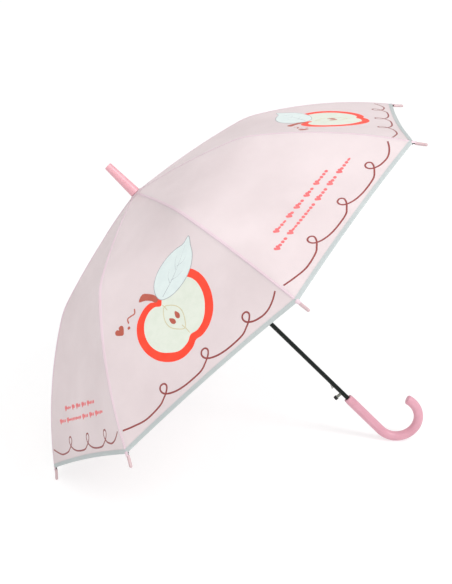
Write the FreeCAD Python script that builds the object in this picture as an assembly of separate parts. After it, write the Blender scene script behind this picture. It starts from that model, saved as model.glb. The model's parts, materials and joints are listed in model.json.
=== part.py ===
"""Children's stick umbrella, open and lying on the floor on two rib tips and its hook.

Millimetres. Everything is drawn upright first: the shaft is the Z axis with the ferrule
up, the hook curls towards -X, and azimuth is measured from +X, the side that lies lowest.
lay_down() then tips the finished umbrella over, so that the row frame has +Z up,
+X from ferrule to handle and its origin at the bottom centre of the bounding box.
"""
import FreeCAD, Part
import math
import os

# Driving dimensions
RIB_COUNT = 8
HUB_RADIUS = 8.0              # ring wires that the ribs and stretchers turn on
CROWN_Z = -16.0               # height of the crown wire
FABRIC_TOP = (9.0, -11.2)     # radius and height where the fabric starts
INNER_SLOPES = (7.0, 17.0)    # fabric slope below level, hub to knee
INNER_LENGTH = 224.2
OUTER_SLOPES = (30.0, 50.0)   # fabric slope below level, knee to hem
OUTER_LENGTH = 271.0
KNEE_DEPTH = 4.6              # knee pivot under the fabric
CLOSED_KNEE_RADIUS = 16.0
CLOSED_TIP_RADIUS = 24.0
CLEARANCE = 0.3               # between pieces that move past each other
RUNNING_FIT = 0.05            # radial play of a pin in its hole

SHAFT_RADIUS = 4.0
SHAFT_WALL = 0.6
SHAFT_TOP = 40.0
SHAFT_BOTTOM = -600.0

FERRULE_BASE_Z = -9.2
FERRULE_TIP_Z = 55.5
FERRULE_BASE_RADIUS = 9.25
FERRULE_TIP_RADIUS = 6.75
ROSETTE_RADIUS = 17.0
ROSETTE_THICKNESS = 0.5

NOTCH_RADIUS = 10.0
NOTCH_HEIGHT = 7.0
SLOT_FLOOR_RADIUS = 5.6
WIRE_RADIUS = 0.5
RIB_TAB = 1.4                 # thickness of a rib's flattened end
STRETCHER_TAB = 1.2           # thickness of a stretcher's flattened end

RIB_GAP = 0.85                # fabric to rib
RIB_DEPTH = 3.0
RIB_WIDTH = 3.4
RIB_WALL = 0.6
EYE_RADIUS = 2.2
LUG_RADIUS = 2.6
RIVET_RADIUS = 0.9
CHEEK_INSIDE = 2.1            # half the gap between a stretcher's cheeks
CHEEK_OUTSIDE = 2.7

TAB_START = 14.0              # hub to the start of an inner rib's channel
TAB_OVERLAP = 12.0            # length on which the flat end is nested in the channel
LUG_LENGTH = 16.0             # where a rib's walls start to deepen towards the knee
LUG_SLANT = (0.6, 0.8)        # direction from the knee pivot to the corners of a lug
BAND_GAP = 6.0                # knee to the nearest end of a rib's channel
OUTER_TAB_OVERLAP = 8.0
WEB_LENGTH = 2.0              # closed bit at the end of a channel
HEM_WEB_LENGTH = 5.0

STRETCHER_DEPTH = 1.3         # half the depth of a stretcher's channel
FOOT_LENGTH = 34.0            # flat foot, from its pivot to the channel
FOOT_DEPTHS = (0.8, 2.6)      # the hooked foot runs this far under the line of the pivots
NECK = 4.0
FORK = 9.0                    # knee to the block that carries the two cheeks
RIVET_HEAD = (1.6, 0.5)       # radius, thickness

TIP_SLOPE = 46.0
TIP_START = 3.0               # bare rib between the hem and the cap
TIP_REACH = 21.5              # hem to the end of the cap
TIP_RADIUS = 2.4
PIN_RADIUS = 1.2
PIN_DEPTH = 12.0
PIN_ROOT = 4.0                # length of the pin inside the end of the rib

FABRIC = 0.8
HEM_SAG = 3.5                 # how far the hem curves in between two ribs, seen along the shaft

RUNNER_RADIUS = 6.2
RUNNER_PLAY = 0.08
RUNNER_LENGTH = 48.0          # from the stretcher pivots down to the rim
RUNNER_FLANGE = 3.0           # half the flange's height
RUNNER_FLANGE_RADIUS = 10.5

MOUTH_Z = -540.0
GRIP_RADIUS = 8.5
MOUTH_RADIUS = 7.7
MOUTH_TAPER = 7.0
GRIP_STRAIGHT = 88.0
HOOK_RADIUS = 39.0
HOOK_TURN = 201.0
END_ROUNDING = 3.0

BUTTON_Z = -525.0
BUTTON_TRAVEL = 3.5
BUTTON_STEM_RADIUS = 2.6
BUTTON_STEM_START = 1.9       # from the shaft's axis, inside the tube
BUTTON_HEAD = (12.5, 17.5)    # from the shaft's axis
BUTTON_HEAD_RADIUS = 4.0
CATCH_NOSE_Z = -507.0
CATCH_TRAVEL = 4.0
CATCH_REACH = 8.2
CATCH_HEIGHT = 11.0
CATCH_THICKNESS = 1.8
CATCH_BACK = 1.3              # from the shaft's axis, inside the tube

SPRING_TOP = -130.0
SPRING_LENGTH = 84.0
SPRING_TURNS = 14
SPRING_RADIUS = 2.6
SPRING_WIRE = 0.4

Z_AXIS = FreeCAD.Vector(0, 0, 1)
HALF_GORE = math.pi / RIB_COUNT


def vec(x, y=0.0, z=0.0):
    return FreeCAD.Vector(x, y, z)


class Curve:
    """A circular arc in a radial plane, bending down from one slope to another."""

    def __init__(self, start, slopes, length, squeeze=1.0):
        first, last = (math.radians(a) for a in slopes)
        radius = length / (last - first)
        points = []
        for share in (0.0, 0.5, 1.0):
            slope = first + (last - first) * share
            x = start[0] + radius * (math.sin(slope) - math.sin(first))
            z = start[1] + radius * (math.cos(slope) - math.cos(first))
            points.append(vec(x * squeeze, 0, z))
        circle = Part.Arc(*points).toShape().Curve
        self.centre, self.radius = circle.Center, circle.Radius
        self.first, self.last = self.angle(points[0]), self.angle(points[2])
        self.start, self.end = points[0], points[2]
        self.length = self.radius * (self.first - self.last)

    def angle(self, point):
        return math.atan2(point.z - self.centre.z, point.x - self.centre.x)

    def at(self, distance, depth=0.0):
        """The point this far along from the start, and this deep under the curve."""
        angle = self.first - distance / self.radius
        reach = self.radius - depth
        return self.centre + vec(reach * math.cos(angle), 0, reach * math.sin(angle))

    def band(self, depths, ends, width):
        """A strip between two depths and two distances, this wide across."""
        sides = []
        for depth in depths:
            points = [self.at(s, depth) for s in (ends[0], sum(ends) / 2, ends[1])]
            sides.append((points, Part.Arc(*points).toShape()))
        (top, top_edge), (under, under_edge) = sides
        edges = [top_edge, Part.makeLine(top[2], under[2]), under_edge, Part.makeLine(under[0], top[0])]
        face = Part.Face(Part.Wire(Part.__sortEdges__(edges)))
        face.translate(vec(0, -width / 2))
        return face.extrude(vec(0, width))


def plate(outline, inside, outside):
    """A flat plate in the radial plane, between two distances along +Y."""
    points = [vec(p.x, inside, p.z) for p in outline]
    face = Part.Face(Part.makePolygon(points + points[:1]))
    return face.extrude(vec(0, outside - inside))


def pin(centre, radius, inside, outside):
    """A round bar along +Y through a point of the radial plane."""
    return Part.makeCylinder(radius, outside - inside, vec(centre.x, inside, centre.z), vec(0, 1, 0))


def ring_wire(height):
    return Part.makeTorus(HUB_RADIUS, WIRE_RADIUS, vec(0, 0, height))


def joined(shapes):
    return shapes[0].multiFuse(shapes[1:]).removeSplitter()


def turned(shape, azimuth):
    copy = shape.copy()
    copy.rotate(vec(0), Z_AXIS, azimuth)
    return copy


def rib_azimuth(number):
    return (number - 0.5) * 360.0 / RIB_COUNT


def gore_azimuth(number):
    return (number - 1) * 360.0 / RIB_COUNT


# Fabric curves at a rib, and in the middle plane of a gore
RIB_INNER = Curve(FABRIC_TOP, INNER_SLOPES, INNER_LENGTH)
KNEE_TOP = RIB_INNER.end
RIB_OUTER = Curve((KNEE_TOP.x, KNEE_TOP.z), OUTER_SLOPES, OUTER_LENGTH)
HEM = RIB_OUTER.end
SQUEEZE = math.cos(HALF_GORE)
GORE_INNER = Curve(FABRIC_TOP, INNER_SLOPES, INNER_LENGTH, SQUEEZE)
GORE_OUTER = Curve((KNEE_TOP.x, KNEE_TOP.z), OUTER_SLOPES, OUTER_LENGTH, SQUEEZE)

# Linkage: rib arm and stretcher are equally long, so the stretcher's foot keeps its radius
CROWN = vec(HUB_RADIUS, 0, CROWN_Z)
KNEE_SLOPE = math.radians((INNER_SLOPES[1] + OUTER_SLOPES[0]) / 2)
KNEE = KNEE_TOP + vec(-math.sin(KNEE_SLOPE), 0, -math.cos(KNEE_SLOPE)) * KNEE_DEPTH
ARM = (KNEE - CROWN).Length
OPEN_ANGLE = math.asin((CROWN.z - KNEE.z) / ARM)
CLOSED_ANGLE = math.acos((CLOSED_KNEE_RADIUS - HUB_RADIUS) / ARM)
RUNNER_PIVOT = vec(HUB_RADIUS, 0, CROWN_Z - 2 * ARM * math.sin(OPEN_ANGLE))
RIB_SWING = CLOSED_ANGLE - OPEN_ANGLE
RUNNER_TRAVEL = 2 * ARM * (math.sin(CLOSED_ANGLE) - math.sin(OPEN_ANGLE))
CHORD = RIB_OUTER.end - KNEE
CHORD_SLOPE = math.atan2(-CHORD.z, CHORD.x)
CLOSED_CHORD_SLOPE = math.acos((CLOSED_TIP_RADIUS - CLOSED_KNEE_RADIUS) / CHORD.Length)
KNEE_SWING = CHORD_SLOPE + RIB_SWING - CLOSED_CHORD_SLOPE
GORE_CROWN = vec(HUB_RADIUS * SQUEEZE, 0, CROWN_Z)
GORE_KNEE = vec(KNEE.x * SQUEEZE, 0, KNEE.z)

RIB_BAND = (RIB_GAP, RIB_GAP + RIB_DEPTH)
RIB_GROOVE = (RIB_GAP + RIB_WALL, RIB_GAP + RIB_DEPTH + RIB_WALL)
GROOVE_WIDTH = RIB_WIDTH - 2 * RIB_WALL


def channel(curve, ends):
    """A fluted rib: a folded strip, open underneath."""
    return curve.band(RIB_BAND, ends, RIB_WIDTH).cut(curve.band(RIB_GROOVE, ends, GROOVE_WIDTH))


def rib_inner():
    ends = (TAB_START, RIB_INNER.length - BAND_GAP)
    body = channel(RIB_INNER, ends)
    overlap = TAB_START + TAB_OVERLAP
    tab = [CROWN + vec(0, 0, EYE_RADIUS), RIB_INNER.at(ends[0], RIB_GAP), RIB_INNER.at(overlap, RIB_GAP),
           RIB_INNER.at(overlap, RIB_BAND[1]), CROWN - vec(0, 0, EYE_RADIUS)]
    pieces = [body, plate(tab, -RIB_TAB / 2, RIB_TAB / 2), pin(CROWN, EYE_RADIUS, -RIB_TAB / 2, RIB_TAB / 2)]
    pieces.append(RIB_INNER.band(RIB_BAND, (ends[0], ends[0] + WEB_LENGTH), GROOVE_WIDTH))
    rear, front = RIB_INNER.length - LUG_LENGTH, RIB_INNER.length - BAND_GAP
    corner = vec(LUG_SLANT[0], 0, LUG_SLANT[1]) * LUG_RADIUS
    lug = [RIB_INNER.at(rear, RIB_BAND[1]), RIB_INNER.at(rear, RIB_GAP), RIB_INNER.at(front, RIB_GAP),
           KNEE + corner, KNEE - corner]
    for side in (-1, 1):
        inside, outside = sorted((side * GROOVE_WIDTH / 2, side * RIB_WIDTH / 2))
        pieces += [plate(lug, inside, outside), pin(KNEE, LUG_RADIUS, inside, outside)]
    shape = joined(pieces)
    eye = pin(CROWN, WIRE_RADIUS + RUNNING_FIT, -RIB_TAB, RIB_TAB)
    return shape.cut(eye).cut(pin(KNEE, RIVET_RADIUS + RUNNING_FIT, -RIB_WIDTH, RIB_WIDTH))


def tip_axis():
    """Start point and direction of the pin that a rib's cap sits on."""
    slope = math.radians(TIP_SLOPE)
    start = RIB_OUTER.at(RIB_OUTER.length, (RIB_BAND[0] + RIB_BAND[1]) / 2)
    return start, vec(math.cos(slope), 0, -math.sin(slope))


def rib_outer():
    ends = (BAND_GAP, RIB_OUTER.length)
    reach = BAND_GAP + OUTER_TAB_OVERLAP
    tab = [KNEE + vec(LUG_RADIUS * 0.3, 0, EYE_RADIUS * 0.9), RIB_OUTER.at(BAND_GAP, RIB_GAP),
           RIB_OUTER.at(reach, RIB_GAP), RIB_OUTER.at(reach, RIB_BAND[1]), KNEE - vec(0, 0, EYE_RADIUS)]
    start, along = tip_axis()
    pin_length = PIN_ROOT + TIP_START + PIN_DEPTH
    tip_pin = Part.makeCylinder(PIN_RADIUS, pin_length, start - along * PIN_ROOT, along)
    pieces = [channel(RIB_OUTER, ends), plate(tab, -RIB_TAB / 2, RIB_TAB / 2),
              pin(KNEE, EYE_RADIUS, -RIB_TAB / 2, RIB_TAB / 2), tip_pin,
              RIB_OUTER.band(RIB_BAND, (ends[0], ends[0] + WEB_LENGTH), GROOVE_WIDTH),
              RIB_OUTER.band(RIB_BAND, (ends[1] - HEM_WEB_LENGTH, ends[1]), GROOVE_WIDTH)]
    return joined(pieces).cut(pin(KNEE, RIVET_RADIUS + RUNNING_FIT, -RIB_TAB, RIB_TAB))


def rib_tip():
    start, along = tip_axis()
    length = TIP_REACH - TIP_START
    cap = Part.makeCylinder(TIP_RADIUS, length - TIP_RADIUS, start + along * TIP_START, along)
    end = start + along * (TIP_REACH - TIP_RADIUS)
    ball = Part.makeSphere(TIP_RADIUS, end)
    bore = Part.makeCylinder(PIN_RADIUS, PIN_DEPTH, start + along * TIP_START, along)
    return joined([cap, ball]).cut(bore)


def stretcher():
    """Channel with a forked end at the knee and a flat hooked foot that passes the runner wire."""
    along = (KNEE - RUNNER_PIVOT).normalize()
    under = vec(along.z, 0, -along.x)
    half = STRETCHER_DEPTH
    neck_end, block_start = FOOT_LENGTH + NECK, ARM - FORK - NECK

    def spot(distance, depth):
        return RUNNER_PIVOT + along * distance + under * depth

    def bar(from_, to, top, below, width):
        outline = [spot(from_, top), spot(to, top), spot(to, below), spot(from_, below)]
        return plate(outline, -width / 2, width / 2)

    top, under_foot = FOOT_DEPTHS
    foot = [spot(0, top), spot(FOOT_LENGTH - 2 * NECK, top), spot(FOOT_LENGTH, -half), spot(neck_end, -half),
            spot(neck_end, half), spot(FOOT_LENGTH, half), spot(FOOT_LENGTH - NECK, under_foot),
            spot(0, under_foot)]
    body = bar(FOOT_LENGTH, block_start, -half, half, RIB_WIDTH)
    groove = bar(neck_end, block_start, -half + RIB_WALL, half + 1, GROOVE_WIDTH)
    block = bar(block_start, ARM - FORK, -half, half, 2 * CHEEK_OUTSIDE)
    pieces = [body.cut(groove), plate(foot, -STRETCHER_TAB / 2, STRETCHER_TAB / 2), block]
    cheek = [spot(block_start, -half), spot(ARM, -EYE_RADIUS), spot(ARM, EYE_RADIUS),
             spot(block_start, half)]
    for side in (-1, 1):
        inside, outside = sorted((side * CHEEK_INSIDE, side * CHEEK_OUTSIDE))
        pieces += [plate(cheek, inside, outside), pin(KNEE, LUG_RADIUS, inside, outside)]
    arm = joined(pieces).cut(pin(KNEE, RIVET_RADIUS, -RIB_WIDTH, RIB_WIDTH))
    head, thickness = RIVET_HEAD
    rivet = joined([pin(KNEE, RIVET_RADIUS, -CHEEK_OUTSIDE, CHEEK_OUTSIDE),
                    pin(KNEE, head, CHEEK_OUTSIDE, CHEEK_OUTSIDE + thickness),
                    pin(KNEE, head, -CHEEK_OUTSIDE - thickness, -CHEEK_OUTSIDE)])
    return Part.makeCompound([arm, rivet])


def wedge():
    """The space of one gore, between two rib planes."""
    back = (CLEARANCE / 2) / math.sin(HALF_GORE)
    reach = 600.0
    half = (reach - back) * math.tan(HALF_GORE)
    outline = [vec(back, 0, -400), vec(reach, -half, -400), vec(reach, half, -400)]
    return Part.Face(Part.makePolygon(outline + outline[:1])).extrude(vec(0, 0, 500))


def gore_inner():
    ends = (0, GORE_INNER.length - CLEARANCE / 2)
    width = 2 * HEM.x * math.sin(HALF_GORE)
    return GORE_INNER.band((-FABRIC, 0), ends, width).common(wedge())


def gore_outer():
    ends = (CLEARANCE / 2, GORE_OUTER.length)
    width = 2 * HEM.x * math.sin(HALF_GORE) + 10
    half_hem = HEM.x * math.sin(HALF_GORE)
    cutter_radius = (half_hem ** 2 + HEM_SAG ** 2) / (2 * HEM_SAG)
    cutter_x = HEM.x * SQUEEZE - HEM_SAG + cutter_radius
    cutter = Part.makeCylinder(cutter_radius, 600, vec(cutter_x, 0, -400))
    return GORE_OUTER.band((-FABRIC, 0), ends, width).common(wedge()).cut(cutter)


def slots(width, middle, height):
    """Radial slots, open outwards, for the ends of the ribs or stretchers."""
    cutters = []
    for number in range(1, RIB_COUNT + 1):
        corner = vec(SLOT_FLOOR_RADIUS, -width / 2, middle - height / 2)
        cutters.append(turned(Part.makeBox(NOTCH_RADIUS, width, height, corner), rib_azimuth(number)))
    return cutters[0].multiFuse(cutters[1:])


def shaft_tube():
    length = SHAFT_TOP - SHAFT_BOTTOM
    tube = Part.makeCylinder(SHAFT_RADIUS, length, vec(0, 0, SHAFT_BOTTOM))
    tube = tube.cut(Part.makeCylinder(SHAFT_RADIUS - SHAFT_WALL, length, vec(0, 0, SHAFT_BOTTOM)))
    slot_width = CATCH_THICKNESS + 2 * CLEARANCE
    slot = Part.makeBox(10, slot_width, CATCH_HEIGHT + 2 * CLEARANCE,
                        vec(0, -slot_width / 2, CATCH_NOSE_Z - CLEARANCE))
    hole = Part.makeCylinder(BUTTON_STEM_RADIUS + CLEARANCE, 10, vec(0, 0, BUTTON_Z), vec(1, 0, 0))
    return tube.cut(slot).cut(hole).cut(stop_pin())


def stop_pin():
    """Cross pin that stops the runner when the umbrella is open."""
    height = RUNNER_PIVOT.z + RUNNER_FLANGE + CLEARANCE + WIRE_RADIUS * 1.4
    half = SHAFT_RADIUS + 1.4
    return Part.makeCylinder(WIRE_RADIUS * 1.4, 2 * half, vec(0, -half, height), vec(0, 1, 0))


def ferrule():
    height = FERRULE_TIP_Z - FERRULE_BASE_Z
    cone = Part.makeCone(FERRULE_BASE_RADIUS, FERRULE_TIP_RADIUS, height, vec(0, 0, FERRULE_BASE_Z))
    rims = [e for e in cone.Edges if isinstance(e.Curve, Part.Circle)]
    cone = cone.makeFillet(1.2, rims)
    bore = Part.makeCylinder(SHAFT_RADIUS, SHAFT_TOP - FERRULE_BASE_Z, vec(0, 0, FERRULE_BASE_Z))
    return cone.cut(bore)


def rosette():
    low = FERRULE_BASE_Z - ROSETTE_THICKNESS
    disc = Part.makeCylinder(ROSETTE_RADIUS, ROSETTE_THICKNESS, vec(0, 0, low))
    return disc.cut(Part.makeCylinder(SHAFT_RADIUS, ROSETTE_THICKNESS, vec(0, 0, low)))


def crown_notch():
    low = CROWN_Z - NOTCH_HEIGHT / 2
    ring = Part.makeCylinder(NOTCH_RADIUS, NOTCH_HEIGHT, vec(0, 0, low))
    ring = ring.cut(slots(RIB_TAB + 2 * CLEARANCE, CROWN_Z, 2 * NOTCH_HEIGHT))
    core = Part.makeCylinder(SLOT_FLOOR_RADIUS, NOTCH_HEIGHT, vec(0, 0, low))
    bore = Part.makeCylinder(SHAFT_RADIUS, NOTCH_HEIGHT, vec(0, 0, low))
    return joined([ring, core]).cut(bore).cut(ring_wire(CROWN_Z))


def runner():
    """Sliding sleeve with a slotted flange, and a window that the catch snaps into."""
    pivot = RUNNER_PIVOT.z
    sleeve = Part.makeCylinder(RUNNER_RADIUS, RUNNER_LENGTH, vec(0, 0, pivot - RUNNER_LENGTH))
    flange = Part.makeCylinder(RUNNER_FLANGE_RADIUS, 2 * RUNNER_FLANGE, vec(0, 0, pivot - RUNNER_FLANGE))
    lip = Part.makeCone(RUNNER_RADIUS, RUNNER_RADIUS + 1.2, 3, vec(0, 0, pivot - RUNNER_LENGTH))
    lip = lip.fuse(Part.makeCylinder(RUNNER_RADIUS + 1.2, 3, vec(0, 0, pivot - RUNNER_LENGTH + 3)))
    flange = flange.cut(slots(STRETCHER_TAB + 2 * CLEARANCE, pivot, 4 * RUNNER_FLANGE))
    body = joined([sleeve, flange, lip])
    bore_low = vec(0, 0, pivot - 1.5 * RUNNER_LENGTH)
    bore = Part.makeCylinder(SHAFT_RADIUS + RUNNER_PLAY, 2 * RUNNER_LENGTH, bore_low)
    width = CATCH_THICKNESS + 2 * CLEARANCE
    window_low = CATCH_NOSE_Z + RUNNER_TRAVEL - 0.5
    window = Part.makeBox(12, width, CATCH_HEIGHT + 1.5, vec(0, -width / 2, window_low))
    return body.cut(bore).cut(window).cut(ring_wire(pivot))


def main_spring():
    """Opening spring inside the shaft, drawn relaxed."""
    coil = Part.makeHelix(SPRING_LENGTH / SPRING_TURNS, SPRING_LENGTH, SPRING_RADIUS)
    circle = Part.Wire(Part.makeCircle(SPRING_WIRE, vec(SPRING_RADIUS), vec(0, 1, 0)))
    shape = Part.Wire(coil.Edges).makePipeShell([circle], True, True)
    shape.translate(vec(0, 0, SPRING_TOP - SPRING_LENGTH))
    return shape


def handle():
    bend_z = MOUTH_Z - GRIP_STRAIGHT
    taper = Part.makeCone(GRIP_RADIUS, MOUTH_RADIUS, MOUTH_TAPER, vec(0, 0, MOUTH_Z - MOUTH_TAPER))
    straight = Part.makeCylinder(GRIP_RADIUS, GRIP_STRAIGHT - MOUTH_TAPER, vec(0, 0, bend_z))
    section = Part.Face(Part.Wire(Part.makeCircle(GRIP_RADIUS, vec(0, 0, bend_z), Z_AXIS)))
    hook = section.revolve(vec(-HOOK_RADIUS, 0, bend_z), vec(0, 1, 0), HOOK_TURN)
    body = joined([taper, straight, hook])
    end = [e for e in body.Edges if isinstance(e.Curve, Part.Circle) and e.Curve.Center.x < -HOOK_RADIUS
           and abs(e.Curve.Radius - GRIP_RADIUS) < 0.01]
    body = body.makeFillet(END_ROUNDING, end)
    bore = Part.makeCylinder(SHAFT_RADIUS, MOUTH_Z - SHAFT_BOTTOM, vec(0, 0, SHAFT_BOTTOM))
    recess = Part.makeCylinder(SHAFT_RADIUS + 1, 2, vec(0, 0, MOUTH_Z - 2))
    return body.cut(bore).cut(recess)


def release_button():
    stem = Part.makeCylinder(BUTTON_STEM_RADIUS, BUTTON_HEAD[0] - BUTTON_STEM_START,
                             vec(BUTTON_STEM_START, 0, BUTTON_Z), vec(1, 0, 0))
    head = Part.makeCylinder(BUTTON_HEAD_RADIUS, BUTTON_HEAD[1] - BUTTON_HEAD[0],
                             vec(BUTTON_HEAD[0], 0, BUTTON_Z), vec(1, 0, 0))
    rim = [e for e in head.Edges
           if isinstance(e.Curve, Part.Circle) and e.Curve.Center.x > BUTTON_HEAD[0] + 1]
    return joined([stem, head.makeFillet(0.8, rim)])


def bottom_catch():
    """Sprung wedge: the runner rides down its slope and is held by its lower face."""
    back, top = CATCH_BACK, CATCH_NOSE_Z + CATCH_HEIGHT
    outline = [vec(back, 0, CATCH_NOSE_Z), vec(CATCH_REACH - 0.4, 0, CATCH_NOSE_Z),
               vec(CATCH_REACH, 0, CATCH_NOSE_Z + 1.0), vec(CATCH_REACH - 1.0, 0, CATCH_NOSE_Z + 2.2),
               vec(SHAFT_RADIUS - 0.5, 0, top), vec(back, 0, top)]
    return plate(outline, -CATCH_THICKNESS / 2, CATCH_THICKNESS / 2)


def tilt_when_lying():
    """Shaft angle below level at which two rib tips and the hook touch the floor together."""
    start, along = tip_axis()
    tip = start + along * (TIP_REACH - TIP_RADIUS)
    tip_x, tip_z = tip.x * SQUEEZE, tip.z
    bend_x, bend_z = -HOOK_RADIUS, MOUTH_Z - GRIP_STRAIGHT
    a, b = tip_x - bend_x, tip_z - bend_z
    rest = HOOK_RADIUS + GRIP_RADIUS - TIP_RADIUS
    # height(tip) = height(bend): a cos(t) - b sin(t) = rest
    return math.atan2(a, b) - math.asin(rest / math.hypot(a, b))


def lay_down(shapes):
    """One placement for the whole umbrella, with its origin at the bottom centre of its box."""
    tilt = tilt_when_lying()
    c, s = math.cos(tilt), math.sin(tilt)
    turn = FreeCAD.Matrix(-s, 0, -c, 0, 0, -1, 0, 0, -c, 0, s, 0, 0, 0, 0, 1)
    laid = Part.makeCompound(list(shapes.values()))
    box = placed(laid, turn).optimalBoundingBox()
    turn.A14 = -(box.XMin + box.XMax) / 2
    turn.A24 = -(box.YMin + box.YMax) / 2
    turn.A34 = -box.ZMin
    return turn


def placed(shape, matrix):
    copy = shape.copy()
    copy.Placement = FreeCAD.Placement(matrix).multiply(copy.Placement)
    return copy


def build():
    shapes = {
        "shaft_tube": shaft_tube(),
        "ferrule": ferrule(),
        "rosette": rosette(),
        "crown_notch": crown_notch(),
        "crown_wire": ring_wire(CROWN_Z),
        "runner": runner(),
        "runner_wire": ring_wire(RUNNER_PIVOT.z),
        "runner_stop": stop_pin(),
        "main_spring": main_spring(),
        "handle": handle(),
        "release_button": release_button(),
        "bottom_catch": bottom_catch(),
    }
    on_ribs = {"rib_inner": rib_inner(), "rib_outer": rib_outer(), "rib_tip": rib_tip(),
               "stretcher": stretcher()}
    between_ribs = {"gore_inner": gore_inner(), "gore_outer": gore_outer()}
    for number in range(1, RIB_COUNT + 1):
        for name, shape in on_ribs.items():
            shapes[f"{name}_{number}"] = turned(shape, rib_azimuth(number))
        for name, shape in between_ribs.items():
            shapes[f"{name}_{number}"] = turned(shape, gore_azimuth(number))
    return shapes


SHAPES = build()
LYING = lay_down(SHAPES)
os.makedirs("parts", exist_ok=True)
for node, shape in SHAPES.items():
    placed(shape, LYING).exportStep(f"parts/{node}.step")
    if not shape.isValid():
        print("not valid:", node)
print(f"{len(SHAPES)} nodes, shaft {math.degrees(tilt_when_lying()):.2f} degrees below level")
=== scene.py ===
"""Looks of the children's umbrella: printed film canopy, bindings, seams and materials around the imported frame."""
import json
import math
import random

import bmesh
import bpy
from mathutils import Matrix, Vector
from mathutils.geometry import delaunay_2d_cdt


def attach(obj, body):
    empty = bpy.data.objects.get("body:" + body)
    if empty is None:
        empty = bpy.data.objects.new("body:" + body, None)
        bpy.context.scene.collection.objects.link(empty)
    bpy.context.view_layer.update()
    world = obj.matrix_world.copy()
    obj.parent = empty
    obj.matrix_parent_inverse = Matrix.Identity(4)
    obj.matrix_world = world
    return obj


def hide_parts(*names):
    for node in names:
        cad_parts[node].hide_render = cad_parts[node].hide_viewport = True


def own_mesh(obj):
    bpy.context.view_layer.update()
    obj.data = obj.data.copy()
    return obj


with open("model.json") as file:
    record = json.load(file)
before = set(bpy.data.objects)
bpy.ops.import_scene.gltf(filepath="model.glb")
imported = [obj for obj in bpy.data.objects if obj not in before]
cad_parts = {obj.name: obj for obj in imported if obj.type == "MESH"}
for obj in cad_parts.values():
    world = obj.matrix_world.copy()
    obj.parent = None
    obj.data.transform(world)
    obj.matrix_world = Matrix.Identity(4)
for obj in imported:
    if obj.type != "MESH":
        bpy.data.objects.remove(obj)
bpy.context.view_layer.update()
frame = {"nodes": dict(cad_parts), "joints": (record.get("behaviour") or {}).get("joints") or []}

MM = 0.001
RIBS = 8
HALF_GORE = math.pi / RIBS
SQUEEZE = math.cos(HALF_GORE)          # middle of a gore against its ribs, as radii

# Fabric curve, as the CAD frame has it (millimetres, degrees)
FABRIC_TOP = (9.0, -11.2)
INNER_SLOPES, INNER_LENGTH = (7.0, 17.0), 224.2
OUTER_SLOPES, OUTER_LENGTH = (30.0, 50.0), 271.0
CROWN_Z = -16.0
HEM_SAG = 4.8                          # the hem's curve in, along the middle of a gore
FILM = 0.25                            # drawn film thickness

COLUMNS = 44
INNER_ROWS = 40
OUTER_ROWS = 54


# ---------------------------------------------------------------- frame of the umbrella

def joint(name):
    return next(j for j in frame["joints"] if j["name"] == name)


UP_SHAFT = -Vector(joint("runner_slide")["axis"]).normalized()
CROWN = sum((Vector(joint(f"rib_hinge_{i}")["pos_m"]) for i in range(1, RIBS + 1)), Vector()) / RIBS
LOW_SIDE = (Vector(joint("gore_hinge_1")["pos_m"]) - CROWN).normalized()
ACROSS = UP_SHAFT.cross(LOW_SIDE)
ORIGIN = CROWN - UP_SHAFT * CROWN_Z * MM


def to_row(point):
    """A point of the upright umbrella, in millimetres, to the row frame in metres."""
    return ORIGIN + (LOW_SIDE * point[0] + ACROSS * point[1] + UP_SHAFT * point[2]) * MM


def around(azimuth, radius, tangent, height):
    """Cylindrical millimetres to the row frame: out along an azimuth, then sideways, then up."""
    c, s = math.cos(azimuth), math.sin(azimuth)
    return to_row((radius * c - tangent * s, radius * s + tangent * c, height))


def gore_azimuth(number):
    return (number - 1) * 2 * HALF_GORE


def rib_azimuth(number):
    return (number - 0.5) * 2 * HALF_GORE


# ---------------------------------------------------------------- fabric surface

def smooth(t):
    t = min(max(t, 0.0), 1.0)
    return t * t * (3 - 2 * t)


class Profile:
    """Fabric line from hub to hem in a rib plane. The knee is rounded over `round_mm` either side."""
    STEP = 1.0

    def __init__(self, round_mm):
        self.points = [(FABRIC_TOP[0], FABRIC_TOP[1], math.radians(INNER_SLOPES[0]))]
        length = INNER_LENGTH + OUTER_LENGTH
        x, z = FABRIC_TOP
        for n in range(int(length / self.STEP) + 30):
            s = (n + 0.5) * self.STEP
            slope = self.slope(s, round_mm)
            x += math.cos(slope) * self.STEP
            z -= math.sin(slope) * self.STEP
            self.points.append((x, z, self.slope(s + self.STEP / 2, round_mm)))

    @staticmethod
    def slope(s, round_mm):
        inner = INNER_SLOPES[0] + (INNER_SLOPES[1] - INNER_SLOPES[0]) * min(s / INNER_LENGTH, 1.0)
        share = min(max((s - INNER_LENGTH) / OUTER_LENGTH, 0.0), 1.0)
        outer = OUTER_SLOPES[0] + (OUTER_SLOPES[1] - OUTER_SLOPES[0]) * share
        turn = smooth((s - INNER_LENGTH + round_mm) / (2 * round_mm))
        return math.radians(inner + (outer - inner) * turn)

    def at(self, s):
        n = min(max(s / self.STEP, 0.0), len(self.points) - 1.001)
        i, f = int(n), n - int(n)
        a, b = self.points[i], self.points[i + 1]
        return tuple(p + (q - p) * f for p, q in zip(a, b))


SEAM_PROFILE = Profile(24.0)
MIDDLE_PROFILE = Profile(75.0)
TOTAL = INNER_LENGTH + OUTER_LENGTH


def slack(s, v):
    """How far the film hangs in from the flat between two ribs."""
    along = math.sin(math.pi * min(s / (TOTAL * 1.12), 1.0)) ** 1.3
    ripple = 0.35 * math.sin(s / 23.0 + 4 * v) * smooth((s - 330) / 120) * abs(v) ** 1.5
    return 6.5 * along * (1 - v * v) + ripple * (1 - abs(v)) * 3


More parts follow.
